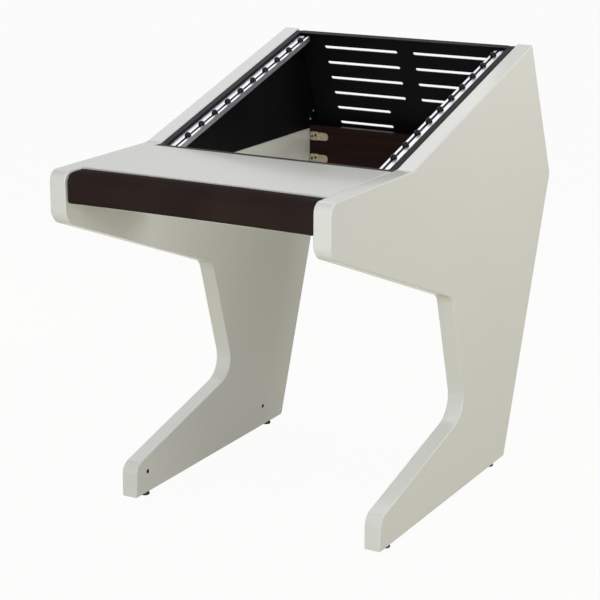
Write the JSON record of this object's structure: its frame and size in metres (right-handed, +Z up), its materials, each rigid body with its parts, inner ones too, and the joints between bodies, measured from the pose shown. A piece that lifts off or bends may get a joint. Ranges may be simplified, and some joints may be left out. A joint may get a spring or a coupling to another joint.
{
  "type": "studio desk",
  "caption": "Free-standing studio desk: cantilevered side panels, desktop with padded armrest, sloping rack bay with slotted rails and a vented back, rear cross rail and levelling glides.",
  "frame": {"origin": "on the floor, under the middle of the desk's box", "axes": "+Z up, +X to the right of a person who faces the desk from its front, +Y from the padded front to the vented back"},
  "size_m": [0.6, 1.033, 0.91],
  "materials": {
    "white_lacquer": "high-gloss white lacquer on board",
    "brown_leather": "dark brown smooth-grained leather",
    "brown_board": "dark brown finished board",
    "black_steel": "fine black powder coat",
    "rail_aluminium": "satin extruded aluminium",
    "black_screw": "black oxide steel",
    "zinc_steel": "bright zinc plated steel",
    "nickel": "warm nickel plated die casting",
    "black_plastic": "moulded black plastic",
    "dark_bush": "dark burnished steel"
  },
  "bodies": {
    "frame": {"side_panel_left": "white_lacquer", "side_panel_right": "white_lacquer", "desktop": "white_lacquer", "desktop_angle_left": "black_steel", "desktop_angle_right": "black_steel", "armrest_beam": "white_lacquer", "armrest_pad": "brown_leather", "rack_liner_left": "black_steel", "rack_liner_right": "black_steel", "rack_front_plate": "black_steel", "vent_panel": "black_steel", "rack_rail_left": "rail_aluminium", "nut_strip_left": "black_steel", "rack_screw_left_1": "black_screw", "rack_screw_left_2": "black_screw", "rack_screw_left_3": "black_screw", "rack_screw_left_4": "black_screw", "rack_screw_left_5": "black_screw", "rack_screw_left_6": "black_screw", "rack_screw_left_7": "black_screw", "rack_screw_left_8": "black_screw", "rack_screw_left_9": "black_screw", "rack_screw_left_10": "black_screw", "rack_rail_right": "rail_aluminium", "nut_strip_right": "black_steel", "rack_screw_right_1": "black_screw", "rack_screw_right_2": "black_screw", "rack_screw_right_3": "black_screw", "rack_screw_right_4": "black_screw", "rack_screw_right_5": "black_screw", "rack_screw_right_6": "black_screw", "rack_screw_right_7": "black_screw", "rack_screw_right_8": "black_screw", "rack_screw_right_9": "black_screw", "rack_screw_right_10": "black_screw", "cross_rail": "brown_board", "rail_connector_lower_left": "nickel", "connector_bolt_lower_left": "zinc_steel", "rail_connector_upper_left": "nickel", "connector_bolt_upper_left": "zinc_steel", "rail_connector_lower_right": "nickel", "connector_bolt_lower_right": "zinc_steel", "rail_connector_upper_right": "nickel", "connector_bolt_upper_right": "zinc_steel", "glide_bush_front_left": "zinc_steel", "foot_bush_front_left": "dark_bush", "glide_bush_rear_left": "zinc_steel", "foot_bush_rear_left": "dark_bush", "glide_bush_front_right": "zinc_steel", "foot_bush_front_right": "dark_bush", "glide_bush_rear_right": "zinc_steel", "foot_bush_rear_right": "dark_bush"},
    "glide_front_left": {"glide_foot_front_left": "black_plastic", "glide_stem_front_left": "zinc_steel"},
    "glide_rear_left": {"glide_foot_rear_left": "black_plastic", "glide_stem_rear_left": "zinc_steel"},
    "glide_front_right": {"glide_foot_front_right": "black_plastic", "glide_stem_front_right": "zinc_steel"},
    "glide_rear_right": {"glide_foot_rear_right": "black_plastic", "glide_stem_rear_right": "zinc_steel"}
  },
  "joints": [
    {"name": "glide_front_left_height", "type": "slide", "parent": "frame", "child": "glide_front_left", "axis": [0, 0, 1], "range_m": [-0.01, 0.003]},
    {"name": "glide_rear_left_height", "type": "slide", "parent": "frame", "child": "glide_rear_left", "axis": [0, 0, 1], "range_m": [-0.01, 0.003]},
    {"name": "glide_front_right_height", "type": "slide", "parent": "frame", "child": "glide_front_right", "axis": [0, 0, 1], "range_m": [-0.01, 0.003]},
    {"name": "glide_rear_right_height", "type": "slide", "parent": "frame", "child": "glide_rear_right", "axis": [0, 0, 1], "range_m": [-0.01, 0.003]}
  ]
}
